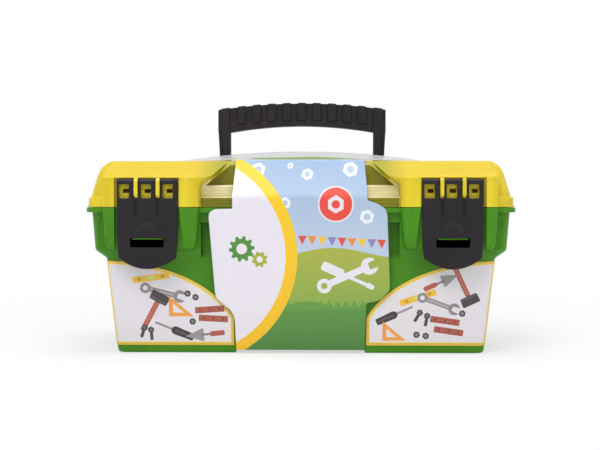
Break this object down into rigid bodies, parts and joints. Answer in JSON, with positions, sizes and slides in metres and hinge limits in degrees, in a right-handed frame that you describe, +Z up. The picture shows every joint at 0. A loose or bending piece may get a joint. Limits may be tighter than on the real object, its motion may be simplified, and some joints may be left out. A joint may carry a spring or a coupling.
{
  "type": "toy tool box",
  "caption": "Moulded toy tool box with a hinged translucent lid, snap latches, a folding ribbed carry handle, a printed card wrap and stickers.",
  "frame": {"origin": "on the floor under the middle of the box", "axes": "+X along the box to the right as seen from the front, -Y towards the front with the latches, +Z up"},
  "size_m": [0.35, 0.18, 0.21],
  "materials": {
    "tub_plastic": "satin moulded",
    "lid_plastic": "glossy, slightly see-through",
    "handle_plastic": "satin moulded",
    "latch_plastic": "satin moulded",
    "pin_steel": "drawn wire",
    "printed_card": "coated print on the outside",
    "sticker_paper": "coated print"
  },
  "bodies": {
    "tub": {"tub": "tub_plastic", "hinge_pin_left": "pin_steel", "hinge_pin_right": "pin_steel", "label_left": "sticker_paper", "label_right": "sticker_paper"},
    "lid": {"lid": "lid_plastic", "sleeve_top": "printed_card"},
    "handle": {"handle": "handle_plastic"},
    "latch_left": {"latch_left": "latch_plastic"},
    "latch_right": {"latch_right": "latch_plastic"},
    "sleeve_front": {"sleeve_front": "printed_card"}
  },
  "joints": [
    {"name": "lid_hinge", "type": "hinge", "parent": "tub", "child": "lid", "pos_m": [0, 0.085, 0.11965], "axis": [-1, 0, 0], "range_deg": [0, 100]},
    {"name": "handle_hinge", "type": "hinge", "parent": "lid", "child": "handle", "pos_m": [0, 0, 0.1515], "axis": [-1, 0, 0], "range_deg": [0, 90]},
    {"name": "latch_left_hinge", "type": "hinge", "parent": "lid", "child": "latch_left", "pos_m": [-0.1225, -0.0858, 0.1402], "axis": [-1, 0, 0], "range_deg": [0, 110]},
    {"name": "latch_right_hinge", "type": "hinge", "parent": "lid", "child": "latch_right", "pos_m": [0.1225, -0.0858, 0.1402], "axis": [-1, 0, 0], "range_deg": [0, 110]},
    {"name": "sleeve_crease", "type": "hinge", "parent": "lid", "child": "sleeve_front", "pos_m": [0, -0.0638, 0.158], "axis": [-1, 0, 0], "range_deg": [0, 110]}
  ]
}
